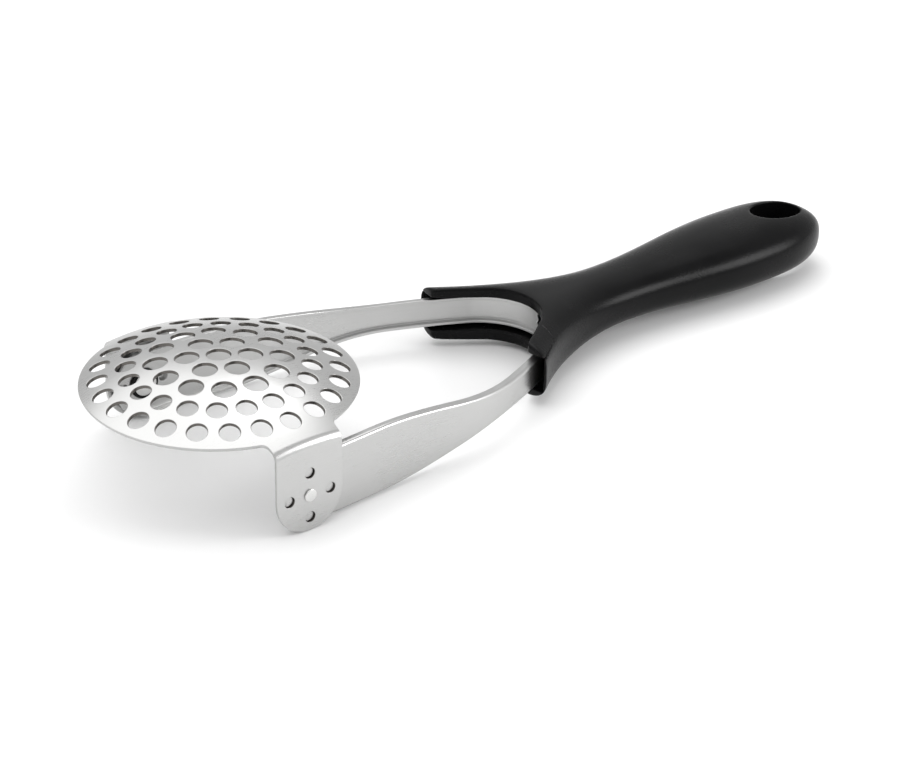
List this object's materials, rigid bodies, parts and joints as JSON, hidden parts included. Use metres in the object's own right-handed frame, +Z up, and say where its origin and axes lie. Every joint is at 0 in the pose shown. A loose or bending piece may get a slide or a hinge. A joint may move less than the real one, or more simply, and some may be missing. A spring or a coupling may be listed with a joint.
{
  "type": "folding potato masher",
  "caption": "Potato masher with a domed perforated plate that turns on rivets in a U-shaped steel band, held in a forked plastic grip.",
  "frame": {"origin": "middle of the masher's length and width, on the surface that it lies on", "axes": "+X from the plate to the end of the grip, +Z up through the folded plate's crown, Y across the two arms"},
  "size_m": [0.2944, 0.093, 0.0395],
  "materials": {
    "head_steel": "satin brushed stainless sheet",
    "band_steel": "stainless sheet brushed along its length",
    "rivet_steel": "smooth stainless",
    "washer_nylon": "black nylon",
    "grip_plastic": "fine-grained black moulding"
  },
  "bodies": {
    "handle": {"spring_band": "band_steel", "left_rivet": "rivet_steel", "right_rivet": "rivet_steel", "left_spacer_washer": "washer_nylon", "right_spacer_washer": "washer_nylon", "left_tail_washer": "washer_nylon", "right_tail_washer": "washer_nylon", "handle_body": "grip_plastic", "handle_cover": "grip_plastic", "anchor_stud": "rivet_steel"},
    "head": {"masher_head": "head_steel"}
  },
  "joints": [
    {"name": "head_fold", "type": "hinge", "parent": "handle", "child": "head", "pos_m": [-0.10475, 0, 0.0119], "axis": [0, -1, 0], "range_deg": [0, 180]}
  ]
}
